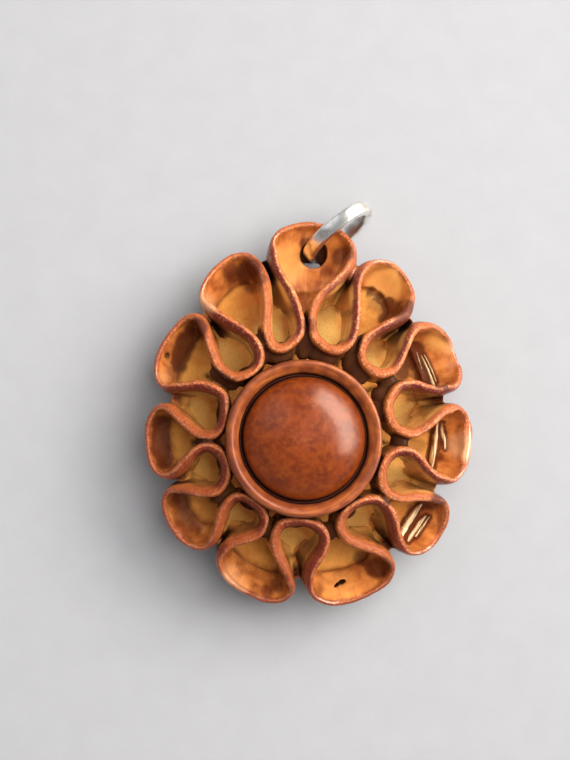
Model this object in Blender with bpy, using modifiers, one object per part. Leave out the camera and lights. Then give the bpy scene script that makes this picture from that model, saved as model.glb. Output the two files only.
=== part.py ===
"""Apricot stone carved into a flower pendant, with its jump ring.

The stone lies on its uncarved back with the carved dome up. Its origin is the centre of the small
flat that it rests on, right under the medallion. +Y runs to the pierced petal that holds the ring.
Sizes below are in millimetres and are turned into metres where the meshes are made.
"""

import math

import bmesh
import bpy
from mathutils import Vector

MM = 0.001

# Outline of the whole stone, seen from above: an egg whose pierced end is the narrow one.
STONE_CENTRE = (1.0, 2.1)
STONE_HALF_WIDTH = 13.5
STONE_HALF_LENGTH = 15.1
TIP_NARROWING = 0.2
EQUATOR_Z = 4.4
DOME_BASE_Z = 4.0
DOME_RISE = 5.4
DOME_SPREAD = 1.02

# The pierced tip is thinner than the rest, on both faces.
TIP_START = 0.55
TIP_DIP = 0.45
TIP_LIFT = 0.9

# Hollow that held the kernel.
CAVITY_CENTRE = (0.8, 1.3)
CAVITY_HALF_WIDTH = 9.6
CAVITY_HALF_LENGTH = 10.2
CAVITY_FLOOR_Z = 1.3
CAVITY_MOUTH_Z = 3.6
CAVITY_CEILING_RISE = 3.9

# Uncarved back, from the flat up to the lip: height, share of the outline, depth of the flutes.
BACK_SIDES = 88
OUTLINE_ROUNDS = 8
WALL_POINTS_PER_SIDE = 20
NOTCH_SHARE = 0.87
BACK_LEVELS = (
    (0.0, 0.45, 0.0), (0.3, 0.57, 0.0), (1.1, 0.74, 0.25), (2.0, 0.88, 0.6), (3.0, 0.94, 0.9),
    (4.0, 0.955, 1.0), (4.3, 0.93, 1.0), (4.0, 0.89, 0.9),
)
# Inside of the hollow: height of each level and its share of the hollow's mouth.
FLOOR_LEVELS = ((3.6, 1.0), (2.7, 0.93), (1.9, 0.8), (1.5, 0.58), (1.35, 0.3))

# The carved wall: its crest, clockwise, in mm from the medallion's axis. A row is one petal with
# the loop that leads to it, from the pierced petal at the top round by the right.
WALL_CREST = (
    # Petal 0, pierced for the ring
    ((-2.4, 7.2), (-1.5, 6.9), (-0.3, 8.0), (-0.3, 9.5), (-0.9, 11.3), (-1.6, 12.9), (-1.8, 14.4),
     (-1.5, 15.6), (-0.6, 16.4), (1.1, 16.8), (3.1, 16.5), (4.2, 15.6), (4.5, 14.4), (4.0, 13.2),
     (2.9, 12.1), (1.7, 11.1), (1.0, 10.0), (0.8, 8.9), (1.0, 7.7)),
    # Petal 1
    ((1.9, 6.9), (2.8, 6.8), (3.7, 7.5), (4.1, 8.7), (4.3, 10.2), (4.4, 11.5), (4.8, 12.7),
     (5.6, 13.6), (6.7, 13.8), (7.8, 13.6), (8.6, 12.8), (9.0, 11.6), (8.9, 10.5), (8.3, 9.5),
     (7.2, 8.9), (6.0, 8.3), (5.0, 7.5), (4.6, 6.6)),
    # Petal 2
    ((4.9, 5.6), (5.9, 5.0), (6.9, 5.2), (7.6, 6.0), (8.1, 7.0), (8.6, 8.0), (9.3, 8.7),
     (10.2, 8.8), (11.4, 8.4), (12.4, 7.5), (13.0, 6.3), (13.0, 5.1), (12.3, 4.1), (11.0, 3.7),
     (9.9, 3.8), (8.8, 4.1)),
    # Petal 3
    ((7.6, 3.9), (6.8, 2.9), (6.7, 1.9), (7.1, 1.0), (7.9, 0.5), (8.8, 0.4), (9.7, 0.9),
     (10.6, 1.6), (11.5, 2.2), (12.5, 2.3), (13.3, 1.7), (13.7, 0.6), (13.7, -0.6), (13.4, -1.7),
     (12.9, -2.6), (12.0, -3.2), (10.8, -3.1), (9.8, -2.4), (9.1, -1.6), (8.3, -1.1)),
    # Petal 4
    ((7.3, -1.1), (6.5, -1.7), (6.1, -2.6), (6.2, -3.6), (6.8, -4.3), (7.7, -4.6), (9.0, -4.5),
     (10.3, -4.6), (11.3, -5.1), (11.7, -6.0), (11.4, -7.2), (10.7, -8.2), (9.7, -8.7),
     (8.6, -8.7), (7.8, -8.2), (7.4, -7.3), (7.1, -6.3), (6.6, -5.4)),
    # Petal 5
    ((5.8, -4.8), (4.8, -4.8), (3.8, -5.2), (3.1, -5.9), (2.9, -6.8), (3.4, -7.6), (4.4, -8.1),
     (5.6, -8.5), (6.6, -9.0), (7.1, -9.8), (7.0, -10.8), (6.3, -11.5), (5.1, -12.1),
     (3.8, -12.5), (2.4, -12.5), (1.2, -11.9), (0.6, -10.8), (0.9, -9.6), (1.5, -8.6),
     (1.7, -7.6)),
    # Petal 6
    ((1.2, -6.8), (0.3, -6.4), (-0.7, -6.3), (-1.6, -6.5), (-2.1, -7.3), (-2.0, -8.4),
     (-1.5, -9.5), (-1.0, -10.6), (-0.8, -11.5), (-1.4, -12.2), (-2.5, -12.2), (-3.7, -11.7),
     (-4.9, -11.0), (-5.8, -10.0), (-6.1, -8.9), (-5.6, -8.0), (-4.5, -7.6), (-3.5, -7.2)),
    # Petal 7
    ((-3.0, -6.4), (-3.2, -5.5), (-3.9, -4.8), (-4.7, -4.4), (-5.4, -4.6), (-6.0, -5.4),
     (-6.3, -6.4), (-6.6, -7.4), (-7.2, -8.0), (-8.1, -8.0), (-9.1, -7.3), (-9.8, -6.2),
     (-10.2, -5.0), (-10.0, -4.1), (-9.1, -3.8), (-7.8, -4.0), (-6.6, -3.9)),
    # Petal 8
    ((-6.0, -3.1), (-5.9, -2.0), (-6.4, -1.0), (-7.3, -0.6), (-8.2, -1.0), (-9.0, -1.9),
     (-9.8, -2.6), (-10.7, -2.4), (-11.2, -1.6), (-11.4, -0.3), (-11.4, 1.1), (-10.9, 2.2),
     (-10.1, 2.4), (-9.3, 1.7), (-8.5, 0.9), (-7.6, 0.3), (-6.8, 0.4)),
    # Petal 9
    ((-6.2, 1.1), (-6.0, 2.2), (-6.1, 3.2), (-6.8, 3.8), (-7.9, 4.1), (-9.2, 4.0), (-10.2, 4.1),
     (-10.7, 4.8), (-10.7, 5.9), (-10.3, 7.1), (-9.5, 8.3), (-8.6, 9.2), (-7.7, 9.3),
     (-7.2, 8.3), (-6.8, 6.8), (-6.3, 5.5)),
    # Petal 10
    ((-5.5, 4.8), (-4.6, 4.8), (-3.7, 5.3), (-3.3, 6.3), (-3.7, 7.4), (-4.5, 8.2), (-5.5, 8.9),
     (-6.6, 9.7), (-7.2, 10.5), (-7.2, 11.5), (-6.7, 12.5), (-5.9, 13.4), (-4.9, 14.1),
     (-3.9, 14.2), (-3.1, 13.6), (-2.7, 12.5), (-2.6, 11.3), (-2.6, 9.8), (-2.7, 8.4)),
)
WALL_STATIONS = 232
CURVE_STEPS = 12
WALL_BEND_WEIGHT = 1.4
WALL_LEAN = 0.017
# Half section of the wall: height, as a share of the way up, and half width in mm.
WALL_SECTION = ((0.0, 0.52), (0.35, 0.47), (0.72, 0.42), (0.92, 0.36), (1.0, 0.2))
WALL_ROOT_SLOPE = 6.0
WALL_ROOT_LOWEST = 2.0

# Medallion, turned about the stone's own axis: radius and height down its outside.
MEDALLION_PROFILE = (
    (0.0, 11.2), (1.6, 11.0), (3.0, 10.4), (4.0, 9.7), (4.6, 9.1), (4.85, 8.7),
    (5.05, 9.3), (5.35, 9.6), (5.75, 9.55), (6.05, 9.2), (6.1, 8.6), (6.0, 7.4),
    (5.5, 6.95), (3.0, 7.1), (0.0, 7.1),
)
MEDALLION_SIDES = 40
MERGE_DISTANCE = 0.01

# Scoop and hole in the pierced petal.
SCOOP_CENTRE = (1.1, 13.6, 6.4)
SCOOP_SIZE = (2.4, 4.2, 3.4)
HOLE_CENTRE = (1.8, 14.75)
HOLE_RADIUS = 1.2
HOLE_LENGTH = 6.0
HOLE_MID_Z = 2.5
TOOL_SIDES = 24
SCOOP_LEVELS = 14

# Jump ring: a flat-sided wire loop that hangs through the hole and leans on its edge.
RING_MEAN_RADIUS = 2.85
RING_WIRE_THICKNESS = 0.8
RING_WIRE_WIDTH = 1.1
RING_CENTRE_Z = 3.7
RING_BEARING = 37.0
RING_LEAN = 12.0
RING_STATIONS = 40
RING_SECTION_POINTS = 10
RING_SQUARENESS = 0.6

SLIVER_WIDTH = 0.01

STONE_COLOUR = (0.36, 0.13, 0.045, 1.0)
METAL_COLOUR = (0.78, 0.77, 0.75, 1.0)
STONE_ROUGHNESS = 0.38
METAL_ROUGHNESS = 0.2


def clear_scene():
    """Remove every object that the file opens with."""
    for found in list(bpy.data.objects):
        bpy.data.objects.remove(found, do_unlink=True)


def make_collection(name):
    """Return a new collection linked to the scene."""
    group = bpy.data.collections.new(name)
    bpy.context.scene.collection.children.link(group)
    return group


def make_material(name, colour, roughness, metallic):
    """Return a Principled material in one colour."""
    material = bpy.data.materials.new(name)
    material.use_nodes = True
    shader = material.node_tree.nodes["Principled BSDF"]
    shader.inputs["Base Color"].default_value = colour
    shader.inputs["Roughness"].default_value = roughness
    shader.inputs["Metallic"].default_value = metallic
    material.diffuse_color = colour
    return material


def make_object(name, vertices, faces, group):
    """Return a mesh object whose vertices are given in millimetres."""
    mesh = bpy.data.meshes.new(name)
    mesh.from_pydata([Vector(vertex) * MM for vertex in vertices], [], faces)
    mesh.validate()
    made = bpy.data.objects.new(name, mesh)
    group.objects.link(made)
    return made


def smooth_loop(points, count, bend_weight):
    """Return points along a smooth closed curve through the given ones, closer in its bends."""
    dense = []
    total = len(points)
    for index in range(total):
        before, start, end, after = (Vector(points[(index + step) % total]) for step in (-1, 0, 1, 2))
        for step in range(CURVE_STEPS):
            t = step / CURVE_STEPS
            dense.append(0.5 * (
                2.0 * start
                + (end - before) * t
                + (2.0 * before - 5.0 * start + 4.0 * end - after) * t ** 2
                + (3.0 * start - before - 3.0 * end + after) * t ** 3
            ))
    lengths = [0.0]
    for index, point in enumerate(dense):
        step = dense[(index + 1) % len(dense)] - point
        bend = step.angle(point - dense[index - 1])
        lengths.append(lengths[-1] + step.length + bend_weight * bend)
    even = []
    index = 0
    for station in range(count):
        target = lengths[-1] * station / count
        while lengths[index + 1] < target:
            index += 1
        share = (target - lengths[index]) / (lengths[index + 1] - lengths[index])
        even.append(dense[index].lerp(dense[(index + 1) % len(dense)], share))
    return even


def outline_share(point):
    """Return how far out a point lies, 1 being the stone's outline."""
    along = (point[1] - STONE_CENTRE[1]) / STONE_HALF_LENGTH
    half_width = STONE_HALF_WIDTH * (1.0 - TIP_NARROWING * ((1.0 + along) / 2.0) ** 2)
    return math.hypot((point[0] - STONE_CENTRE[0]) / half_width, along)


def tip_share(point):
    """Return how near a point is to the pierced tip: 0 well short of it, 1 at its end."""
    along = (point[1] - STONE_CENTRE[1]) / STONE_HALF_LENGTH
    share = min(1.0, max(0.0, (along - TIP_START) / (1.0 - TIP_START)))
    return share * share * (3.0 - 2.0 * share)


def crest_height(point):
    """Return the height of the carved dome over a point."""
    share = outline_share(point) / DOME_SPREAD
    rise = DOME_RISE * (1.0 - TIP_DIP * tip_share(point))
    return DOME_BASE_Z + rise * math.sqrt(max(0.0, 1.0 - share ** 2))


def root_height(point):
    """Return the height of the wall's foot: the hollow's ceiling, or sunk in the back past it."""
    across = (point[0] - CAVITY_CENTRE[0]) / CAVITY_HALF_WIDTH
    along = (point[1] - CAVITY_CENTRE[1]) / CAVITY_HALF_LENGTH
    share = math.hypot(across, along)
    if share < 1.0:
        return CAVITY_MOUTH_Z + CAVITY_CEILING_RISE * math.sqrt(1.0 - share ** 2)
    return max(WALL_ROOT_LOWEST, CAVITY_MOUTH_Z - WALL_ROOT_SLOPE * (share - 1.0))


def drawn_in(point, height, crest):
    """Return a point moved in towards the stone's centre, as the wall leans and the back rounds."""
    scale = 1.0 - WALL_LEAN * (crest - height)
    if height < EQUATOR_Z:
        scale *= math.sqrt(1.0 - ((EQUATOR_Z - height) / EQUATOR_Z) ** 2)
    centre = Vector(STONE_CENTRE)
    moved = centre + (point - centre) * scale
    return (moved.x, moved.y, height)


def wall_points():
    """Return the wall's crest points in one list."""
    return [point for row in WALL_CREST for point in row]


def add_wall(group):
    """Return the one wall that winds round every petal and loop."""
    path = smooth_loop(wall_points(), WALL_STATIONS, WALL_BEND_WEIGHT)
    section = [(share, -width) for share, width in WALL_SECTION] + list(reversed(WALL_SECTION))
    vertices = []
    for index, point in enumerate(path):
        ahead = path[(index + 1) % WALL_STATIONS] - path[index - 1]
        side = Vector((-ahead.y, ahead.x)).normalized()
        crest = crest_height(point)
        root = root_height(point)
        for share, offset in section:
            height = root + share * (crest - root)
            vertices.append(drawn_in(point + side * offset, height, crest))
    return make_object("carved_pit", vertices, tube_faces(WALL_STATIONS, len(section)), group)


def tube_faces(stations, ring):
    """Return the quads of a closed tube made of rings of points."""
    faces = []
    for station in range(stations):
        here = station * ring
        there = (station + 1) % stations * ring
        for index in range(ring):
            following = (index + 1) % ring
            faces.append((here + index, here + following, there + following, there + index))
    return faces


def smooth_reach(angle):
    """Return how far the stone's smooth outline lies from its centre."""
    reach = STONE_HALF_LENGTH
    for _ in range(OUTLINE_ROUNDS):
        ray = Vector((math.cos(angle), math.sin(angle))) * reach
        reach /= outline_share(ray + Vector(STONE_CENTRE))
    return reach


def fluted_reach(sides):
    """Return how far the petals' outer faces lie from the centre, in each of many directions."""
    reach = [NOTCH_SHARE * smooth_reach(2.0 * math.pi * side / sides) for side in range(sides)]
    half_wall = WALL_SECTION[2][1]
    for point in smooth_loop(wall_points(), sides * WALL_POINTS_PER_SIDE, 0.0):
        offset = point - Vector(STONE_CENTRE)
        side = round(math.atan2(offset.y, offset.x) / (2.0 * math.pi) * sides) % sides
        reach[side] = max(reach[side], offset.length + half_wall)
    return reach


def add_back(group):
    """Return the uncarved back with the kernel's hollow in it."""
    fluted = fluted_reach(BACK_SIDES)
    vertices = []
    for height, share, flute in BACK_LEVELS:
        for side in range(BACK_SIDES):
            angle = 2.0 * math.pi * side / BACK_SIDES
            smooth = smooth_reach(angle)
            reach = share * (smooth + flute * (fluted[side] - smooth))
            place = Vector(STONE_CENTRE) + reach * Vector((math.cos(angle), math.sin(angle)))
            lift = TIP_LIFT * tip_share(place) * max(0.0, 1.0 - height / EQUATOR_Z)
            vertices.append((place.x, place.y, height + lift))
    for height, share in FLOOR_LEVELS:
        for side in range(BACK_SIDES):
            angle = 2.0 * math.pi * side / BACK_SIDES
            vertices.append((
                CAVITY_CENTRE[0] + CAVITY_HALF_WIDTH * share * math.cos(angle),
                CAVITY_CENTRE[1] + CAVITY_HALF_LENGTH * share * math.sin(angle),
                height,
            ))
    faces = [tuple(reversed(range(BACK_SIDES)))]
    for first in range(0, len(vertices) - BACK_SIDES, BACK_SIDES):
        for side in range(BACK_SIDES):
            here = first + side
            beside = first + (side + 1) % BACK_SIDES
            faces.append((here, beside, beside + BACK_SIDES, here + BACK_SIDES))
    last = len(vertices) - BACK_SIDES
    floor_centre = len(vertices)
    vertices.append((*CAVITY_CENTRE, CAVITY_FLOOR_Z))
    for side in range(BACK_SIDES):
        faces.append((last + side, last + (side + 1) % BACK_SIDES, floor_centre))
    return make_object("stone_back", vertices, faces, group)


def add_medallion(group):
    """Return the turned medallion: a dome, a groove and a rounded rim."""
    vertices = [(radius, 0.0, height) for radius, height in MEDALLION_PROFILE]
    mesh = bpy.data.meshes.new("medallion")
    edges = [(index, index + 1) for index in range(len(vertices) - 1)]
    mesh.from_pydata([Vector(vertex) * MM for vertex in vertices], edges, [])
    made = bpy.data.objects.new("medallion", mesh)
    group.objects.link(made)
    turn = made.modifiers.new("Turn", "SCREW")
    turn.steps = MEDALLION_SIDES
    turn.render_steps = MEDALLION_SIDES
    turn.use_merge_vertices = True
    turn.merge_threshold = MERGE_DISTANCE * MM
    return made


def add_scoop(group):
    """Return the cutter that hollows the pierced petal's floor."""
    mesh = bpy.data.meshes.new("scoop")
    shape = bmesh.new()
    bmesh.ops.create_uvsphere(shape, u_segments=TOOL_SIDES, v_segments=SCOOP_LEVELS, radius=1.0)
    for vertex in shape.verts:
        for axis in range(3):
            vertex.co[axis] = (vertex.co[axis] * SCOOP_SIZE[axis] + SCOOP_CENTRE[axis]) * MM
    shape.to_mesh(mesh)
    shape.free()
    made = bpy.data.objects.new("scoop", mesh)
    group.objects.link(made)
    return made


def add_hole(group):
    """Return the cutter that drills the ring's hole."""
    mesh = bpy.data.meshes.new("hole")
    shape = bmesh.new()
    bmesh.ops.create_cone(
        shape, cap_ends=True, segments=TOOL_SIDES,
        radius1=HOLE_RADIUS * MM, radius2=HOLE_RADIUS * MM, depth=HOLE_LENGTH * MM,
    )
    shape.to_mesh(mesh)
    shape.free()
    made = bpy.data.objects.new("hole", mesh)
    made.location = Vector((*HOLE_CENTRE, HOLE_MID_Z)) * MM
    group.objects.link(made)
    return made


def join_or_cut(target, tool, operation, own_overlaps=False):
    """Add a Boolean modifier that joins a shape to the target or cuts it out."""
    step = target.modifiers.new(tool.name, "BOOLEAN")
    step.operation = operation
    step.solver = "EXACT"
    step.use_self = own_overlaps
    step.object = tool


def add_jump_ring(group):
    """Return the jump ring where it stands, its origin on the hole's axis."""
    bearing = math.radians(RING_BEARING)
    lean = math.radians(RING_LEAN)
    out = Vector((math.cos(bearing), math.sin(bearing), 0.0))
    side = Vector((-math.sin(bearing), math.cos(bearing), 0.0))
    rise = Vector((0.0, 0.0, 1.0)) * math.cos(lean) + side * math.sin(lean)
    across = out.cross(rise)
    dip = (RING_CENTRE_Z - HOLE_MID_Z) / (RING_MEAN_RADIUS * math.cos(lean))
    centre = out * RING_MEAN_RADIUS * math.sqrt(1.0 - dip ** 2) + rise * RING_MEAN_RADIUS * dip
    vertices = []
    for station in range(RING_STATIONS):
        angle = 2.0 * math.pi * station / RING_STATIONS
        radial = out * math.cos(angle) + rise * math.sin(angle)
        for index in range(RING_SECTION_POINTS):
            turn = 2.0 * math.pi * index / RING_SECTION_POINTS
            thick = rounded(math.cos(turn)) * RING_WIRE_THICKNESS / 2.0
            wide = rounded(math.sin(turn)) * RING_WIRE_WIDTH / 2.0
            vertices.append(centre + radial * (RING_MEAN_RADIUS + thick) + across * wide)
    made = make_object("jump_ring", vertices, tube_faces(RING_STATIONS, RING_SECTION_POINTS), group)
    made.location = Vector((*HOLE_CENTRE, HOLE_MID_Z)) * MM
    return made


def rounded(value):
    """Return a section coordinate pushed out towards a rounded rectangle."""
    return math.copysign(abs(value) ** RING_SQUARENESS, value)


def face_outwards(made):
    """Turn every face of a closed mesh outwards."""
    shape = bmesh.new()
    shape.from_mesh(made.data)
    bmesh.ops.recalc_face_normals(shape, faces=shape.faces)
    shape.to_mesh(made.data)
    shape.free()


def apply_joins(made):
    """Keep the mesh that the modifiers give, with its thinnest slivers merged away."""
    evaluated = made.evaluated_get(bpy.context.evaluated_depsgraph_get())
    joined = bpy.data.meshes.new_from_object(evaluated)
    shape = bmesh.new()
    shape.from_mesh(joined)
    bmesh.ops.triangulate(shape, faces=shape.faces)
    bmesh.ops.dissolve_degenerate(shape, dist=SLIVER_WIDTH * MM, edges=shape.edges)
    bmesh.ops.triangulate(shape, faces=shape.faces)
    shape.to_mesh(joined)
    shape.free()
    made.modifiers.clear()
    made.data = joined


def finish(made, material):
    """Give a piece its material and smooth shading."""
    made.data.materials.append(material)
    made.data.shade_smooth()


def main():
    """Build the pendant."""
    clear_scene()
    pendant = make_collection("carved_pit_pendant")
    tools = make_collection("tools")
    stone = make_material("carved_stone", STONE_COLOUR, STONE_ROUGHNESS, 0.0)
    metal = make_material("ring_metal", METAL_COLOUR, METAL_ROUGHNESS, 1.0)

    pit = add_wall(pendant)
    back = add_back(tools)
    medallion = add_medallion(tools)
    scoop = add_scoop(tools)
    hole = add_hole(tools)
    for made in (pit, back):
        face_outwards(made)
    for made in (back, medallion, scoop, hole):
        made.hide_render = True
        made.display_type = "WIRE"
    join_or_cut(back, scoop, "DIFFERENCE")
    join_or_cut(pit, back, "UNION", own_overlaps=True)
    join_or_cut(pit, medallion, "UNION")
    join_or_cut(pit, hole, "DIFFERENCE")
    apply_joins(pit)
    finish(pit, stone)

    ring = add_jump_ring(pendant)
    face_outwards(ring)
    finish(ring, metal)


main()
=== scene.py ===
"""Looks of the carved apricot stone pendant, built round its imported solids.

The stone is modelled at a thousand times its size, one unit being a millimetre, and is brought to
its real size when it is done. +Y runs to the pierced petal and +Z up out of the carved side.
"""

import math

import bpy
import numpy as np
from mathutils import Matrix, Vector, kdtree, noise
from mathutils.bvhtree import BVHTree


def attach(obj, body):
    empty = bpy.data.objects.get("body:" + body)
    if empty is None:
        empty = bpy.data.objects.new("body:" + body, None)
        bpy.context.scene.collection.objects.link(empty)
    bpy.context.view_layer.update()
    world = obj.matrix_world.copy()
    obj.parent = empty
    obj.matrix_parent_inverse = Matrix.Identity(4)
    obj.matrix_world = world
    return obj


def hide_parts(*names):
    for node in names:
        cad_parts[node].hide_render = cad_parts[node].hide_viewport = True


MM = 0.001

# Fineness of the stone's mesh in millimetres, and how many faces it keeps.
VOXEL_SIZE = 0.11
FACES_KEPT = 80000
# Rays that measure how hidden a place is, and how far they reach.
SHADE_RAYS = 20
SHADE_REACH = 5.0

# Outline of the stone and its carved dome, as in the part's source.
STONE_CENTRE = Vector((1.0, 2.1))
STONE_HALF_WIDTH = 13.5
STONE_HALF_LENGTH = 15.1
TIP_NARROWING = 0.2
TIP_START = 0.55
TIP_DIP = 0.45
TIP_LIFT = 0.9
EQUATOR_Z = 4.4
DOME_BASE_Z = 4.0
DOME_RISE = 5.4
DOME_SPREAD = 1.02

# Crest of the winding wall, clockwise from the pierced petal: one petal and its loop a row.
WALL_CREST = (
    ((-2.4, 7.2), (-1.5, 6.9), (-0.3, 8.0), (-0.3, 9.5), (-0.9, 11.3), (-1.6, 12.9), (-1.8, 14.4),
     (-1.5, 15.6), (-0.6, 16.4), (1.1, 16.8), (3.1, 16.5), (4.2, 15.6), (4.5, 14.4), (4.0, 13.2),
     (2.9, 12.1), (1.7, 11.1), (1.0, 10.0), (0.8, 8.9), (1.0, 7.7)),
    ((1.9, 6.9), (2.8, 6.8), (3.7, 7.5), (4.1, 8.7), (4.3, 10.2), (4.4, 11.5), (4.8, 12.7),
     (5.6, 13.6), (6.7, 13.8), (7.8, 13.6), (8.6, 12.8), (9.0, 11.6), (8.9, 10.5), (8.3, 9.5),
     (7.2, 8.9), (6.0, 8.3), (5.0, 7.5), (4.6, 6.6)),
    ((4.9, 5.6), (5.9, 5.0), (6.9, 5.2), (7.6, 6.0), (8.1, 7.0), (8.6, 8.0), (9.3, 8.7),
     (10.2, 8.8), (11.4, 8.4), (12.4, 7.5), (13.0, 6.3), (13.0, 5.1), (12.3, 4.1), (11.0, 3.7),
     (9.9, 3.8), (8.8, 4.1)),
    ((7.6, 3.9), (6.8, 2.9), (6.7, 1.9), (7.1, 1.0), (7.9, 0.5), (8.8, 0.4), (9.7, 0.9),
     (10.6, 1.6), (11.5, 2.2), (12.5, 2.3), (13.3, 1.7), (13.7, 0.6), (13.7, -0.6), (13.4, -1.7),
     (12.9, -2.6), (12.0, -3.2), (10.8, -3.1), (9.8, -2.4), (9.1, -1.6), (8.3, -1.1)),
    ((7.3, -1.1), (6.5, -1.7), (6.1, -2.6), (6.2, -3.6), (6.8, -4.3), (7.7, -4.6), (9.0, -4.5),
     (10.3, -4.6), (11.3, -5.1), (11.7, -6.0), (11.4, -7.2), (10.7, -8.2), (9.7, -8.7),
     (8.6, -8.7), (7.8, -8.2), (7.4, -7.3), (7.1, -6.3), (6.6, -5.4)),
    ((5.8, -4.8), (4.8, -4.8), (3.8, -5.2), (3.1, -5.9), (2.9, -6.8), (3.4, -7.6), (4.4, -8.1),
     (5.6, -8.5), (6.6, -9.0), (7.1, -9.8), (7.0, -10.8), (6.3, -11.5), (5.1, -12.1),
     (3.8, -12.5), (2.4, -12.5), (1.2, -11.9), (0.6, -10.8), (0.9, -9.6), (1.5, -8.6),
     (1.7, -7.6)),
    ((1.2, -6.8), (0.3, -6.4), (-0.7, -6.3), (-1.6, -6.5), (-2.1, -7.3), (-2.0, -8.4),
     (-1.5, -9.5), (-1.0, -10.6), (-0.8, -11.5), (-1.4, -12.2), (-2.5, -12.2), (-3.7, -11.7),
     (-4.9, -11.0), (-5.8, -10.0), (-6.1, -8.9), (-5.6, -8.0), (-4.5, -7.6), (-3.5, -7.2)),
    ((-3.0, -6.4), (-3.2, -5.5), (-3.9, -4.8), (-4.7, -4.4), (-5.4, -4.6), (-6.0, -5.4),
     (-6.3, -6.4), (-6.6, -7.4), (-7.2, -8.0), (-8.1, -8.0), (-9.1, -7.3), (-9.8, -6.2),
     (-10.2, -5.0), (-10.0, -4.1), (-9.1, -3.8), (-7.8, -4.0), (-6.6, -3.9)),
    ((-6.0, -3.1), (-5.9, -2.0), (-6.4, -1.0), (-7.3, -0.6), (-8.2, -1.0), (-9.0, -1.9),
     (-9.8, -2.6), (-10.7, -2.4), (-11.2, -1.6), (-11.4, -0.3), (-11.4, 1.1), (-10.9, 2.2),
     (-10.1, 2.4), (-9.3, 1.7), (-8.5, 0.9), (-7.6, 0.3), (-6.8, 0.4)),
    ((-6.2, 1.1), (-6.0, 2.2), (-6.1, 3.2), (-6.8, 3.8), (-7.9, 4.1), (-9.2, 4.0), (-10.2, 4.1),
     (-10.7, 4.8), (-10.7, 5.9), (-10.3, 7.1), (-9.5, 8.3), (-8.6, 9.2), (-7.7, 9.3),
     (-7.2, 8.3), (-6.8, 6.8), (-6.3, 5.5)),
    ((-5.5, 4.8), (-4.6, 4.8), (-3.7, 5.3), (-3.3, 6.3), (-3.7, 7.4), (-4.5, 8.2), (-5.5, 8.9),
     (-6.6, 9.7), (-7.2, 10.5), (-7.2, 11.5), (-6.7, 12.5), (-5.9, 13.4), (-4.9, 14.1),
     (-3.9, 14.2), (-3.1, 13.6), (-2.7, 12.5), (-2.6, 11.3), (-2.6, 9.8), (-2.7, 8.4)),
)
CREST_POINTS = [point for row in WALL_CREST for point in row]
WALL_STATIONS = 1500
WALL_LEAN = 0.017
# Share of its width that the wall loses on the petals' outer arcs.
ARC_THINNING = 0.45
# Half section of the wall below its rounded rim: share of the height, half width.
WALL_SIDE = ((0.0, 0.58), (0.2, 0.55), (0.4, 0.51), (0.6, 0.47), (0.8, 0.43))
# Rounded rim: how far below the crest, half width. The loops' side is bevelled deeper.
WALL_RIM = ((0.3, 0.4), (0.17, 0.375), (0.08, 0.32), (0.025, 0.23), (0.0, 0.1))
LOOP_RIM = ((0.95, 0.47), (0.62, 0.42), (0.34, 0.34), (0.12, 0.22), (0.0, 0.06))
# Where the outer rim of one petal is worn to a flat facet: its place, how far it reaches, its rim.
FACET_PLACE = (13.5, -0.45)
FACET_REACH = 2.0
FACET_RIM = ((0.45, 0.47), (0.33, 0.46), (0.24, 0.42), (0.1, 0.18), (0.0, -0.04))

# Hollow of the kernel: where the wall's foot meets its ceiling.
CEILING_CENTRE = Vector((0.8, 1.3))
CEILING_HALF = (9.6, 10.2)
CEILING_Z = 3.6
CEILING_RISE = 3.9

# Uncarved back, from the flat upwards: height, share of the outline, depth of the flutes.
BACK_LEVELS = (
    (0.0, 0.0, 0.0), (0.0, 0.25, 0.0), (0.0, 0.45, 0.0), (0.3, 0.57, 0.0), (1.1, 0.74, 0.25),
    (2.0, 0.88, 0.6), (3.0, 0.94, 0.9), (4.0, 0.955, 1.0),
)
# Scooped inside of each petal: bearing in degrees, width of the slope from the rim's outer edge to
# the hollow's lip, height of the lip, how hollow the slope is, how sharply the lip drops.
PETAL_SLOPES = (
    (88.0, 5.4, 2.7, 2.6, 0.05), (57.0, 2.2, 3.3, 1.5, 1.0), (24.0, 3.3, 3.2, 1.7, 1.0),
    (-9.0, 2.9, 3.2, 1.8, 1.0), (-43.0, 2.8, 3.2, 1.6, 0.8), (-74.0, 2.7, 3.2, 1.5, 0.8),
    (-109.0, 2.0, 3.2, 1.3, 0.6), (-138.0, 1.7, 3.2, 1.2, 0.5), (-172.0, 1.6, 3.1, 1.2, 0.5),
    (160.0, 1.8, 3.1, 1.2, 0.6), (126.0, 1.9, 3.2, 1.4, 1.0),
)
SHELL_SIDES = 480
SHELL_ANGLES = 2.0 * np.pi * np.arange(SHELL_SIDES) / SHELL_SIDES

# Medallion, down its outside: radius and height of the dome, the groove and the rounded rim.
MEDALLION_PROFILE = (
    (0.0, 11.2), (0.8, 11.16), (1.6, 11.0), (2.4, 10.74), (3.1, 10.38), (3.7, 9.98), (4.15, 9.6),
    (4.5, 9.22), (4.64, 8.95), (4.71, 8.68), (4.77, 8.52), (4.84, 8.5), (4.9, 8.6), (4.96, 8.8),
    (5.08, 9.04), (5.28, 9.28), (5.48, 9.44), (5.64, 9.5), (5.8, 9.42), (5.92, 9.2),
    (5.98, 8.8), (5.96, 8.2), (5.88, 7.5), (5.7, 7.1), (5.4, 6.95), (3.0, 7.1), (0.0, 7.1),
)

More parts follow.
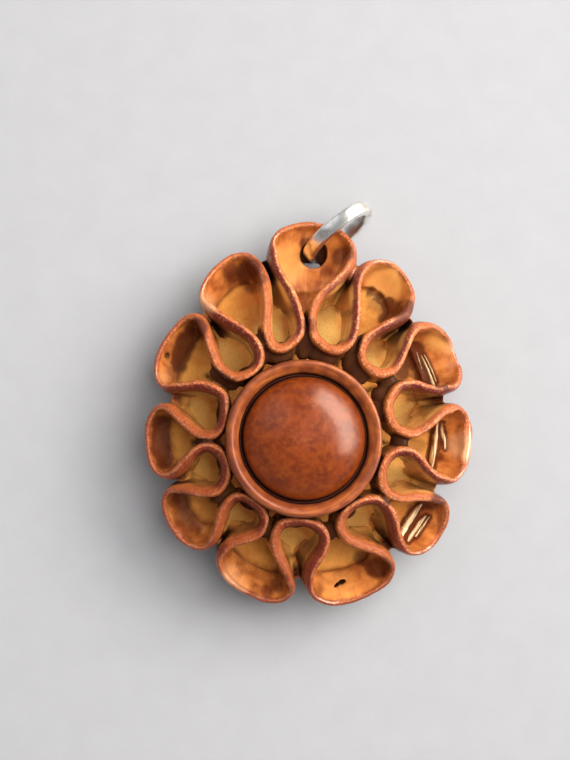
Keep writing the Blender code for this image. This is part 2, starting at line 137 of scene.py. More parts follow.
# Stone left standing between the walls: two ends of each bridge in plan, and its half width. The
# first eleven close the petals' throats, and the rest join the loops to the medallion.
BRIDGES = (
    (0.15, 6.2, 0.35, 9.0, 0.7), (3.6, 5.3, 4.45, 7.6, 0.7), (6.3, 3.9, 7.4, 4.5, 0.6),
    (7.3, -0.1, 8.2, -0.4, 0.6), (6.0, -4.3, 6.6, -4.95, 0.6), (1.95, -6.6, 2.4, -7.5, 0.6),
    (-2.45, -6.1, -2.8, -7.3, 0.6), (-5.3, -3.6, -6.4, -4.6, 0.6), (-6.3, -0.2, -7.8, -0.1, 0.6),
    (-5.0, 4.0, -6.7, 5.2, 0.6), (-2.65, 6.1, -3.15, 7.9, 0.6),
    (-1.55, 5.9, -1.9, 7.1, 1.3), (1.5, 5.8, 1.9, 7.0, 1.3), (4.0, 4.5, 5.2, 5.6, 0.9),
    (5.6, 1.9, 6.8, 2.2, 0.9), (5.8, 3.6, 6.7, 3.0, 0.7), (5.4, -2.5, 6.4, -2.9, 0.9),
    (3.1, -4.9, 3.8, -5.8, 0.9), (-0.4, -5.8, -0.4, -6.5, 1.1), (-3.8, -4.4, -4.3, -4.9, 0.9),
    (-5.6, -1.6, -6.2, -1.7, 0.9), (-5.6, 2.0, -6.2, 2.1, 0.9), (-3.9, 4.4, -4.5, 5.1, 0.9),
)
THROATS = BRIDGES[:11]
# How far a bridge's middle lies below the crest, and its half height.
BRIDGE_DEPTH = 1.75
BRIDGE_HALF_HEIGHT = 0.8

# Layers of the stone's keel that stand bare on three petals' slopes: place in mm, how far they
# stand out of the slope, half width.
KEEL_LAYERS = (
    ((10.32, -5.18, 0.0, 0.12), (9.82, -5.76, 0.22, 0.2), (9.23, -6.58, 0.26, 0.25),
     (8.71, -7.4, 0.22, 0.22), (8.45, -7.88, 0.0, 0.12)),
    ((10.57, -6.09, 0.0, 0.07), (10.06, -6.67, 0.2, 0.15), (9.47, -7.44, 0.22, 0.16),
     (9.0, -8.08, 0.0, 0.1)),
    ((10.8, -6.17, 0.0, 0.05), (10.21, -6.94, 0.14, 0.09), (9.59, -7.71, 0.1, 0.07)),
    ((11.73, 1.35, 0.0, 0.06), (11.61, 0.63, 0.2, 0.12), (11.48, -0.46, 0.25, 0.18),
     (11.32, -1.35, 0.25, 0.21), (11.22, -2.22, 0.0, 0.12)),
    ((12.04, 1.27, 0.0, 0.08), (12.05, 0.54, 0.2, 0.13), (12.17, -0.17, 0.2, 0.11),
     (12.17, -0.8, 0.0, 0.06)),
    ((10.41, 6.71, 0.0, 0.05), (10.7, 6.09, 0.15, 0.09), (10.99, 5.4, 0.2, 0.12),
     (11.31, 4.41, 0.2, 0.13), (11.47, 3.91, 0.0, 0.08)),
    ((10.63, 6.76, 0.0, 0.04), (10.99, 6.06, 0.12, 0.06), (11.29, 5.35, 0.15, 0.07),
     (11.56, 4.6, 0.0, 0.05)),
    ((10.08, 6.97, 0.0, 0.04), (10.24, 6.35, 0.12, 0.06), (10.48, 5.63, 0.08, 0.05)),
)

# Drilled hole, the scoop cut in its petal, and the flaws: two cuts that make the slot through one
# petal's floor (place, half sizes, turn in degrees) and the small pit in another.
HOLE_CENTRE = (1.8, 14.75)
HOLE_RADIUS = 1.05
HOLE_MID_Z = 2.5
TIP_SCOOP_CENTRE = (1.1, 13.6, 6.4)
TIP_SCOOP_HALF = (2.4, 4.2, 3.4)
SLOT_CUTS = (((3.3, -11.34, 3.9), (0.36, 0.14, 1.3), 36.0),
             ((3.68, -11.16, 3.9), (0.34, 0.19, 1.3), 22.0))
PIT_PLACE = (-10.02, 6.55, 4.85)
PIT_RADIUS = 0.2

# Jump ring: bearing and lean in degrees, radius of its middle line, thickness, width, height of
# its centre.
RING_BEARING = 37.0
RING_LEAN = 12.0
RING_MEAN = 2.85
RING_THICK = 0.8
RING_WIDE = 1.1
RING_CENTRE_Z = 3.7

# Lights: name, place in metres, width and height, watts, tint, whether the polish reflects it,
# whether it lights surfaces.
LIGHTS = (
    ("window", (0.232, 0.134, 0.241), (0.34, 0.2), 1.9, (1.0, 0.985, 0.96), False, True),
    ("window's sheen", (0.323, 0.166, 0.167), (0.62, 0.22), 4.6, (1.0, 0.91, 0.78), True, False),
    ("wall", (-0.243, 0.243, 0.288), (0.35, 0.35), 0.3, (0.97, 0.98, 1.0), True, True),
    ("front", (0.025, 0.025, 0.17), (0.12, 0.12), 0.3, (1.0, 1.0, 1.0), False, True),
)

# Camera: its place in millimetres, the way from the pendant towards it, its lens.
CAMERA_PLACE = (-18.73, -2.50, 124.10)
CAMERA_SIDE = (-0.1481, -0.0592, 0.9872)
CAMERA_LENS = 73.345


def select_only(*chosen):
    """Select these objects and nothing else, the first one active."""
    bpy.ops.object.select_all(action="DESELECT")
    for one in chosen:
        one.select_set(True)
    bpy.context.view_layer.objects.active = chosen[0]


def apply_step(made, kind, **settings):
    """Add a modifier, set it and apply it."""
    select_only(made)
    step = made.modifiers.new(kind.title(), kind)
    for name, value in settings.items():
        setattr(step, name, value)
    bpy.ops.object.modifier_apply(modifier=step.name)


def close_mesh(made, merge_distance, spin_steps=0):
    """Spin a profile round the upright axis if asked, merge doubles and turn the faces outwards."""
    select_only(made)
    bpy.ops.object.mode_set(mode="EDIT")
    bpy.ops.mesh.select_all(action="SELECT")
    if spin_steps:
        bpy.ops.mesh.spin(steps=spin_steps, angle=2.0 * math.pi, center=(0.0, 0.0, 0.0),
                          axis=(0.0, 0.0, 1.0))
        bpy.ops.mesh.select_all(action="SELECT")
    bpy.ops.mesh.remove_doubles(threshold=merge_distance)
    bpy.ops.mesh.normals_make_consistent(inside=False)
    bpy.ops.object.mode_set(mode="OBJECT")


def new_mesh(name, points, edges, faces):
    """Return an object made of points, edges and faces."""
    mesh = bpy.data.meshes.new(name)
    mesh.from_pydata([tuple(point) for point in points], edges, faces)
    made = bpy.data.objects.new(name, mesh)
    bpy.context.collection.objects.link(made)
    return made


def mesh_piece(name, points, faces):
    """Return an object made of points and faces, its faces outwards."""
    made = new_mesh(name, points, [], faces)
    close_mesh(made, 0.0005)
    return made


def tube_faces(rings, sides, first=0, joined=False):
    """Return the faces between rings of points, the last ring joined to the first if asked."""
    faces = []
    for number in range(rings if joined else rings - 1):
        here, there = first + number * sides, first + (number + 1) % rings * sides
        for index in range(sides):
            beside = (index + 1) % sides
            faces.append((here + index, here + beside, there + beside, there + index))
    return faces


def curve_point(before, start, end, after, t):
    """Return the point at share t from start to end on a smooth curve through four points."""
    return 0.5 * (2.0 * start + (end - before) * t
                  + (2.0 * before - 5.0 * start + 4.0 * end - after) * t ** 2
                  + (3.0 * start - before - 3.0 * end + after) * t ** 3)


def smooth_loop(points, count, bend_weight=0.0, fine_steps=24):
    """Return points along a smooth closed curve through the given ones, closer in its bends."""
    dense = []
    total = len(points)
    for index in range(total):
        near = [Vector(points[(index + step) % total]) for step in (-1, 0, 1, 2)]
        dense += [curve_point(*near, step / fine_steps) for step in range(fine_steps)]
    lengths = [0.0]
    for index, point in enumerate(dense):
        step = dense[(index + 1) % len(dense)] - point
        bend = step.angle(point - dense[index - 1])
        lengths.append(lengths[-1] + step.length + bend_weight * bend)
    even = []
    index = 0
    for station in range(count):
        target = lengths[-1] * station / count
        while lengths[index + 1] < target:
            index += 1
        share = (target - lengths[index]) / (lengths[index + 1] - lengths[index])
        even.append(dense[index].lerp(dense[(index + 1) % len(dense)], share))
    return even


def outline_share(point):
    """Return how far out a point lies, 1 being the stone's outline."""
    along = (point[1] - STONE_CENTRE.y) / STONE_HALF_LENGTH
    half_width = STONE_HALF_WIDTH * (1.0 - TIP_NARROWING * ((1.0 + along) / 2.0) ** 2)
    return math.hypot((point[0] - STONE_CENTRE.x) / half_width, along)


def tip_share(point):
    """Return how near a point is to the pierced tip: 0 well short of it, 1 at its end."""
    along = (point[1] - STONE_CENTRE.y) / STONE_HALF_LENGTH
    share = min(1.0, max(0.0, (along - TIP_START) / (1.0 - TIP_START)))
    return share * share * (3.0 - 2.0 * share)


def crest_height(point):
    """Return the height of the carved dome over a point."""
    share = outline_share(point) / DOME_SPREAD
    rise = DOME_RISE * (1.0 - TIP_DIP * tip_share(point))
    return DOME_BASE_Z + rise * math.sqrt(max(0.0, 1.0 - share ** 2))


def root_height(point):
    """Return the height of the wall's foot: the hollow's ceiling, or sunk in the back past it."""
    across = (point[0] - CEILING_CENTRE.x) / CEILING_HALF[0]
    along = (point[1] - CEILING_CENTRE.y) / CEILING_HALF[1]
    share = math.hypot(across, along)
    if share < 1.0:
        return CEILING_Z + CEILING_RISE * math.sqrt(1.0 - share ** 2)
    return max(2.2, CEILING_Z - 6.0 * (share - 1.0))


def drawn_in(point, height, crest):
    """Return a point moved in towards the stone's centre, as the wall leans and the back rounds."""
    scale = 1.0 - WALL_LEAN * (crest - height)
    if height < EQUATOR_Z:
        scale *= math.sqrt(1.0 - ((EQUATOR_Z - height) / EQUATOR_Z) ** 2)
    moved = STONE_CENTRE + (point - STONE_CENTRE) * scale
    return (moved.x, moved.y, height)


def unevenness(point, size, seed):
    """Return a smooth random value from -1 to 1 that changes over about that many millimetres."""
    return noise.noise(Vector((point[0] / size, point[1] / size, seed)))


def smooth_step(low, high, values):
    """Return 0 below low and 1 above high, eased between."""
    share = np.clip((values - low) / (high - low), 0.0, 1.0)
    return share * share * (3.0 - 2.0 * share)


def fade(low, high, values):
    """Return 1 below low and 0 above high, eased between."""
    return 1.0 - smooth_step(low, high, values)


def lay_out_wall():
    """Return the wall's middle line, the way to its left, and where its arcs and facet are."""
    path = np.array(smooth_loop(CREST_POINTS, WALL_STATIONS, 0.4))
    ahead = np.roll(path, -1, axis=0) - np.roll(path, 1, axis=0)
    left = np.stack([-ahead[:, 1], ahead[:, 0]], axis=1) / np.hypot(*ahead.T)[:, None]
    arc = smooth_step(0.86, 0.93, np.array([outline_share(point) for point in path]))
    far = np.hypot(*(path - np.array(FACET_PLACE)).T)
    facet = fade(0.55 * FACET_REACH, FACET_REACH, far)
    arc *= 1.0 - facet
    return path + left * arc[:, None] * 0.2, left, arc, facet


WALL_PATH, WALL_LEFT, WALL_ARC, WALL_FACET = lay_out_wall()


def carve_wall():
    """Return the one wall that winds round every petal and loop, cut a little unevenly."""
    points = []
    for place, left, arc, facet in zip(WALL_PATH, WALL_LEFT, WALL_ARC, WALL_FACET):
        point, side = Vector(place), Vector(left)
        crest = crest_height(point) + 0.07 * unevenness(point, 2.4, 3.0) - 0.03
        root = root_height(point)
        wide = (1.0 + 0.16 * unevenness(point, 1.7, 8.0)) * float(1.0 - ARC_THINNING * arc)
        loop_rim = np.array(LOOP_RIM) * (1.0 - arc - facet) + np.array(WALL_RIM) * arc
        loop_rim += np.array(FACET_RIM) * facet
        for rows, way in ((WALL_RIM, -1.0), (loop_rim, 1.0)):
            height = crest - rows[0][0] - root
            flank = [(root + share * height, width) for share, width in WALL_SIDE]
            flank += [(crest - below, width) for below, width in rows]
            ring = [drawn_in(point + side * float(way * width * wide), float(level), crest)
                    for level, width in flank]
            points += ring if way < 0.0 else ring[::-1]
    ring = 2 * (len(WALL_SIDE) + len(WALL_RIM))
    faces = tube_faces(WALL_STATIONS, ring, joined=True)
    return mesh_piece("carved_stone_flower", points, faces)


def smooth_reach(angle):
    """Return how far the stone's smooth outline lies from its centre."""
    reach = STONE_HALF_LENGTH
    for _ in range(8):
        reach /= outline_share(STONE_CENTRE + Vector((math.cos(angle), math.sin(angle))) * reach)
    return reach


def round_blur(values, reach):
    """Return the values of a closed ring, each the mean of its neighbours up to that many away."""
    return sum(np.roll(values, shift) for shift in range(-reach, reach + 1)) / (2 * reach + 1)


def fluted_reach():
    """Return how far the petals' outer faces lie from the centre, on each side of the shell."""
    reach = np.array([0.87 * smooth_reach(angle) for angle in SHELL_ANGLES])
    for point in smooth_loop(CREST_POINTS, SHELL_SIDES * 20):
        offset = point - STONE_CENTRE
        side = round(math.atan2(offset.y, offset.x) / (2.0 * math.pi) * SHELL_SIDES) % SHELL_SIDES
        reach[side] = max(reach[side], offset.length + 0.42)
    return round_blur(reach, 2)


def round_highest(values, reach):
    """Return the values of a closed ring, each the highest of its neighbours."""
    return np.max([np.roll(values, shift) for shift in range(-reach, reach + 1)], axis=0)


def around(column):
    """Return one column of the petals' slopes, blended smoothly from petal to petal."""
    bearings = np.radians([row[0] for row in PETAL_SLOPES])
    values = np.array([row[column] for row in PETAL_SLOPES])
    gap = np.angle(np.exp(1j * (SHELL_ANGLES[:, None] - bearings[None, :])))
    weight = np.exp(-(gap / 0.2) ** 2)
    return (weight * values).sum(1) / weight.sum(1)


def between_levels(levels, steps):
    """Return rows on a smooth line through the given ones."""
    rows = []
    last = len(levels) - 1
    for index in range(last):
        near = [np.array(levels[min(last, max(0, index + step))]) for step in (-1, 0, 1, 2)]
        rows += [curve_point(*near, step / steps) for step in range(steps)]
    rows.append(np.array(levels[last]))
    return rows


def shell_shape():
    """Return the shell's measures on each of its sides, all from its centre or from the flat."""
    turn = np.stack([np.cos(SHELL_ANGLES), np.sin(SHELL_ANGLES)], axis=1)
    fluted = fluted_reach()
    petals = round_highest(fluted, SHELL_SIDES // 26)
    notch = np.clip((petals - fluted) / 1.3, 0.0, 1.0)
    crest_reach = fluted - 0.3
    crest = np.array([crest_height(place)
                      for place in np.array(STONE_CENTRE) + crest_reach[:, None] * turn])
    crest = crest - 0.05 - 1.5 * round_blur(round_highest(notch, 2), 3)
    width, lip, hollow, drop = (around(column) for column in (1, 2, 3, 4))
    mouth = np.minimum(round_blur(petals, SHELL_SIDES // 30) - width, 0.9 * fluted - 0.9)
    mouth = round_blur(np.minimum(mouth, crest_reach - 0.6), 4)
    return {
        "turn": turn, "fluted": fluted, "crest_reach": crest_reach, "crest": crest, "lip": lip,
        "hollow": hollow, "drop": drop, "mouth": mouth,
        "smooth": np.array([smooth_reach(angle) for angle in SHELL_ANGLES]),
    }


SHELL = shell_shape()


def slope_fall(share):
    """Return how high a petal's slope still is, from 1 at its rim to 0 at its lip."""
    return (1.0 - share) ** SHELL["hollow"] * (1.0 + 0.6 * SHELL["hollow"] * share)


def slope_height(x, y):
    """Return the height of a petal's slope over a place."""
    offset = Vector((x, y)) - STONE_CENTRE
    side = round(math.atan2(offset.y, offset.x) / (2.0 * math.pi) * SHELL_SIDES) % SHELL_SIDES
    rim, mouth = SHELL["crest_reach"][side], SHELL["mouth"][side]
    share = min(1.0, max(0.0, (rim - offset.length) / (rim - mouth)))
    lip = SHELL["lip"][side]
    return float(lip + (SHELL["crest"][side] - lip) * slope_fall(share)[side])


def carve_shell():
    """Return the natural shell: its back, the petals' scooped insides and the kernel's hollow."""
    fluted, smooth, turn, lip = (SHELL[key] for key in ("fluted", "smooth", "turn", "lip"))
    crest, crest_reach, mouth = (SHELL[key] for key in ("crest", "crest_reach", "mouth"))
    middle = np.array(STONE_CENTRE)
    rings = []
    for height, share, flute in between_levels(BACK_LEVELS, 5):
        reach = share * (smooth + flute * (fluted - smooth))
        place = middle + reach[:, None] * turn
        lift = np.array([TIP_LIFT * tip_share(one) * max(0.0, 1.0 - height / EQUATOR_Z)
                         for one in place])
        rings.append((reach, height + lift))
    rings.append((fluted - 0.35, np.minimum(4.5, crest - 0.4)))
    rings.append((fluted - 0.3, crest - 0.1))
    for step in range(25):
        share = step / 24
        rings.append((crest_reach + (mouth - crest_reach) * share,
                      lip + (crest - lip) * slope_fall(share)))
    drop = SHELL["drop"]
    for out, down in ((0.04, 0.18), (0.07, 0.4), (0.0, 0.7)):
        rings.append((mouth + out * drop, lip - down * drop))
    edge = lip - 0.7 * drop
    for share in (0.97, 0.93, 0.88, 0.82, 0.75, 0.66, 0.55, 0.42, 0.27, 0.12, 0.0):
        rings.append((mouth * share, 1.3 + (edge - 1.3) * share ** 2.6))
    points = []
    for reach, height in rings:
        place = middle + reach[:, None] * turn
        points += [(x, y, z) for (x, y), z in zip(place, height)]
    return mesh_piece("shell", points, tube_faces(len(rings), SHELL_SIDES))


def turn_medallion():
    """Return the medallion, its profile spun round the stone's axis."""
    profile = between_levels(MEDALLION_PROFILE, 3)
    edges = [(index, index + 1) for index in range(len(profile) - 1)]
    made = new_mesh("medallion", [(radius, 0.0, height) for radius, height in profile], edges, [])
    close_mesh(made, 0.001, spin_steps=180)
    return made


def cut_out(target, tool):
    """Cut a tool's shape out of the target and throw the tool away."""
    apply_step(target, "BOOLEAN", operation="DIFFERENCE", solver="EXACT", object=tool)
    bpy.data.objects.remove(tool, do_unlink=True)


def add_egg(place, half, turn=0.0, sides=24):
    """Return an egg shape with those half sizes, turned about the upright."""
    bpy.ops.mesh.primitive_uv_sphere_add(segments=sides, ring_count=sides // 2, location=place,
                                         rotation=(0.0, 0.0, turn), scale=half)
    return bpy.context.object


def drill_and_scoop(shell):
    """Hollow the pierced petal and drill its hole."""
    cut_out(shell, add_egg(TIP_SCOOP_CENTRE, TIP_SCOOP_HALF, sides=64))
    bpy.ops.mesh.primitive_cylinder_add(vertices=64, radius=HOLE_RADIUS, depth=8.0,
                                        location=(*HOLE_CENTRE, HOLE_MID_Z))
    cut_out(shell, bpy.context.object)


def cut_flaws(stone):
    """Cut the slot through one petal and the small pit in another."""
    for place, half, turn in SLOT_CUTS:
        cut_out(stone, add_egg(place, half, math.radians(turn)))
    bpy.ops.mesh.primitive_ico_sphere_add(subdivisions=3, radius=PIT_RADIUS, location=PIT_PLACE)
    cut_out(stone, bpy.context.object)


def add_bridges():
    """Return the lumps of stone left between the walls, as one object."""
    made = []
    for x_in, y_in, x_out, y_out, half in BRIDGES:
        start, end = Vector((x_in, y_in)), Vector((x_out, y_out))
        middle = (start + end) / 2.0
        along = end - start
        made.append(add_egg((middle.x, middle.y, crest_height(middle) - BRIDGE_DEPTH),
                            (along.length / 2.0 + 0.25, half, BRIDGE_HALF_HEIGHT),
                            math.atan2(along.y, along.x)))
    select_only(*made)
    bpy.ops.object.join()
    return bpy.context.object


def lay_keel_layers():
    """Return the thin pale layers of the keel, bare on three petals' slopes."""
    points, faces = [], []
    ring = 16
    for marks in KEEL_LAYERS:
        rows = between_levels(marks, 12)
        for number, row in enumerate(rows):
            ahead = rows[min(number + 1, len(rows) - 1)] - rows[max(number - 1, 0)]
            side = np.array((-ahead[1], ahead[0])) / math.hypot(ahead[0], ahead[1])
            wide = 0.95 * row[3] * (1.0 + 0.3 * unevenness(row, 0.5, 1.0))
            top = slope_height(row[0], row[1]) + row[2] + 0.06 + 0.05 * unevenness(row, 0.4, 5.0)
            for index in range(ring):
                turn = 2.0 * math.pi * index / ring
                across = wide * math.copysign(abs(math.cos(turn)) ** 0.6, math.cos(turn))
                height = top - 0.5 + 0.5 * math.copysign(abs(math.sin(turn)) ** 0.5, math.sin(turn))
                points.append((row[0] + side[0] * across, row[1] + side[1] * across, height))
        first = len(points) - len(rows) * ring
        faces += tube_faces(len(rows), ring, first)
        faces.append(tuple(reversed(range(first, first + ring))))
        faces.append(tuple(range(len(points) - ring, len(points))))
    return mesh_piece("keel_layers", points, faces)


def add_clouds(made, name, size, strength):
    """Push the surface in and out by a soft random pattern of that size."""
    pattern = bpy.data.textures.new(name, "CLOUDS")
    pattern.noise_scale = size
    apply_step(made, "DISPLACE", texture=pattern, strength=strength, texture_coords="LOCAL")


def carve_stone():
    """Return the whole carved stone, and how many of its points come before the medallion's."""
    wall = carve_wall()
    shell = carve_shell()
    drill_and_scoop(shell)
    bridges = add_bridges()
    select_only(wall, shell, bridges)
    bpy.ops.object.join()
    stone = bpy.context.object
    apply_step(stone, "REMESH", mode="VOXEL",
               voxel_size=VOXEL_SIZE)
    apply_step(stone, "SMOOTH", factor=0.5, iterations=3)
    add_clouds(stone, "carving", 1.5, 0.08)
    add_clouds(stone, "grain", 0.4, 0.03)
    apply_step(stone, "DECIMATE", ratio=min(1.0, FACES_KEPT / len(stone.data.polygons)))
    cut_flaws(stone)
    for vertex in stone.data.vertices:
        vertex.co.z = max(vertex.co.z, 0.0)
    carved = len(stone.data.vertices)
    medallion = turn_medallion()
    add_clouds(medallion, "turning", 2.0, 0.05)
    select_only(stone, medallion)
    bpy.ops.object.join()
    return stone, carved


def shade_of(made, places, normals):
    """Return how much of the sky each point is hidden from by the stone itself, from 0 to 1."""
    rays = SHADE_RAYS
    tree = BVHTree.FromPolygons(
        [vertex.co for vertex in made.data.vertices],
        [tuple(face.vertices) for face in made.data.polygons])
    golden = math.pi * (3.0 - math.sqrt(5.0))
    fan = []
    for index in range(rays):
        lift = math.sqrt((index + 0.5) / rays)
        fan.append((math.sqrt(1.0 - lift * lift), golden * index, lift))
    hidden = np.zeros(len(places))
    for index, (place, normal) in enumerate(zip(places, normals)):
        normal = Vector(normal)
        start = Vector(place) + normal * 0.05
        across = normal.orthogonal().normalized()
        beyond = normal.cross(across)
        struck = 0.0
        for flat, angle, lift in fan:
            ray = normal * lift + (across * math.cos(angle) + beyond * math.sin(angle)) * flat
            distance = tree.ray_cast(start, ray, SHADE_REACH)[3]
            if distance is not None:
                struck += 1.0 - distance / SHADE_REACH
        hidden[index] = struck / rays
    return hidden


# Way to the window in plan; the loops' sides that turn away from it are painted in shade.
WINDOW_WAY = np.array((0.7, 0.7))
# Patches of darker stain, the one by the hole being painted shade; of painted glare; of painted
# light; and of a throat where the hollow's colour is left off, so that the painted shade reaches
# down into it: place in mm, radius, strength.
DARK_PATCHES = (
    (-9.0, 6.0, 0.9, 0.9), (-8.8, 6.8, 1.0, 1.0), (-8.5, 7.6, 1.05, 1.0), (-7.9, 8.5, 0.9, 1.0),
    (-9.2, 5.2, 0.7, 0.5), (-4.9, 13.1, 1.0, 0.7), (-3.7, 13.2, 1.1, 0.8), (-3.1, 12.3, 0.8, 0.6),
    (-10.45, 1.2, 0.95, 1.0), (-10.5, 0.3, 1.0, 1.0), (-10.5, -0.6, 1.0, 1.0),
    (-10.2, -1.5, 0.9, 0.9), (-9.0, -4.8, 1.2, 0.7), (-8.8, -5.9, 1.2, 0.7), (-8.2, -6.9, 1.1, 0.6),
    (8.4, 10.3, 0.9, 0.8), (7.8, 9.7, 0.8, 0.8), (3.9, 14.6, 0.9, 0.7), (2.9, 13.4, 0.7, 0.5),
    (6.5, 11.9, 0.45, 0.8), (7.1, 11.4, 0.5, 0.8), (7.8, 10.9, 0.6, 0.9), (1.1, 15.6, 0.6, 0.8),
    (6.4, -10.1, 1.0, 0.85), (5.5, -9.4, 0.8, 0.7), (1.6, -11.6, 0.7, 0.5), (-1.5, -11.3, 0.7, 0.7),
    (-2.4, -11.75, 0.7, 0.7), (-3.3, -11.6, 0.7, 0.55), (5.6, -11.5, 0.8, 0.4),
    (-1.3, -10.6, 0.5, 0.6),
    (10.8, -4.9, 0.9, 0.8), (9.9, 7.1, 0.9, 1.0), (10.3, 6.2, 0.9, 1.0), (10.7, 5.2, 0.9, 1.0),
    (10.9, 4.4, 0.7, 1.0), (11.6, 0.9, 0.8, 0.7), (11.75, -0.2, 0.7, 0.8), (11.5, -1.4, 0.7, 0.7),
    (9.9, -5.6, 0.8, 0.6), (9.0, -7.1, 0.8, 0.6), (0.5, 8.6, 0.8, 0.6),
    (9.3, 6.3, 0.9, 1.0), (9.1, 5.4, 0.8, 0.9), (10.3, -0.5, 0.9, 0.5), (9.7, 0.3, 0.7, 0.5),
    (6.9, 11.0, 1.1, 0.5), (7.9, 9.9, 0.7, 0.9),
)
GLARE_PATCHES = (
    (-6.9, 10.6, 1.0, 0.8), (-5.2, -10.4, 0.9, 0.6), (-4.4, -11.1, 0.7, 0.4),
    (-10.3, 4.9, 0.6, 0.5), (13.4, -0.6, 1.2, 1.0), (12.6, 7.3, 0.6, 0.8),
)
PAINTED_LIGHT_PATCHES = (
    (-1.6, 8.6, 1.3, 1.0), (-1.4, 11.1, 1.3, 0.9), (2.7, 8.6, 1.5, 1.0), (3.3, 10.9, 1.3, 1.0),
    (6.3, 6.2, 1.2, 1.0), (7.6, 12.4, 1.7, 0.9), (-0.2, 14.0, 1.7, 0.7), (8.7, 2.0, 1.3, 0.8),
    (10.2, 2.2, 1.2, 0.7), (8.3, -3.0, 1.4, 0.8), (9.8, -3.6, 1.2, 0.7), (11.6, 8.0, 1.0, 0.8),
    (3.2, -11.6, 1.6, 0.3), (-4.8, 6.6, 1.0, 0.5), (8.0, 7.5, 1.0, 0.7),
)
THROAT_PATCHES = ((0.35, 8.9, 1.1, 1.0), (0.45, 10.0, 1.2, 1.0), (0.8, 11.2, 1.5, 1.0))


def paint(places, patches):
    """Return the strength of soft round patches at each place."""
    value = np.zeros(len(places))
    for x, y, radius, strength in patches:
        far = np.hypot(places[:, 0] - x, places[:, 1] - y) / radius
        value = np.maximum(value, strength * fade(0.5, 1.25, far))
    return value


def read_mesh(mesh, what):
    """Return the places or the normals of a mesh's points as rows of three numbers."""
    values = np.empty(len(mesh.vertices) * 3)
    mesh.vertices.foreach_get(what, values)
    return values.reshape(-1, 3)


def nearest_wall(places):
    """Return each place's distance from the wall's middle, side of it, depth below its crest, how
    far the wall is an outer arc or rubbed to a facet there, and how far its loop side faces the
    window."""
    tree = kdtree.KDTree(WALL_STATIONS)
    for index, (x, y) in enumerate(WALL_PATH):
        tree.insert((x, y, 0.0), index)
    tree.balance()
    found = np.array([tree.find((x, y, 0.0))[1] for x, y, z in places])
    crest = np.array([crest_height(point) for point in WALL_PATH])
    offset = places[:, :2] - WALL_PATH[found]
    side = (offset * WALL_LEFT[found]).sum(1)
    faces_window = WALL_LEFT[found] @ WINDOW_WAY
    return (np.hypot(*offset.T), side, crest[found] - places[:, 2], WALL_ARC[found],
            WALL_FACET[found], faces_window)


def off_bridge(places, bridge):
    """Return how far each place lies from a bridge's middle line, seen from above."""
    start, along = np.array(bridge[:2]), np.array(bridge[2:4]) - np.array(bridge[:2])
    share = np.clip(((places[:, :2] - start) * along).sum(1) / (along ** 2).sum(), 0.0, 1.0)
    return np.hypot(*(places[:, :2] - start - share[:, None] * along).T)


def near_bridges(places):
    """Return how near each place is to the stone left between the walls, seen from above."""
    return np.max([fade(bridge[4] * 0.8, bridge[4] * 1.3, off_bridge(places, bridge))
                   for bridge in BRIDGES], axis=0)


def near_keel(places):
    """Return how near each place is to the bare layers of the keel, seen from above."""
    value = np.zeros(len(places))
    for marks in KEEL_LAYERS:
        for x, y, _, half in between_levels(marks, 6):
            far = np.hypot(places[:, 0] - x, places[:, 1] - y)
            value = np.maximum(value, fade(half + 0.1, half + 0.38, far))
    return value


def near_seams(places):
    """Return how near each place is to the seams where two walls touch at the petals' throats."""
    return np.max([fade(0.1, 0.3, off_bridge(places, bridge)) for bridge in THROATS],
                  axis=0)


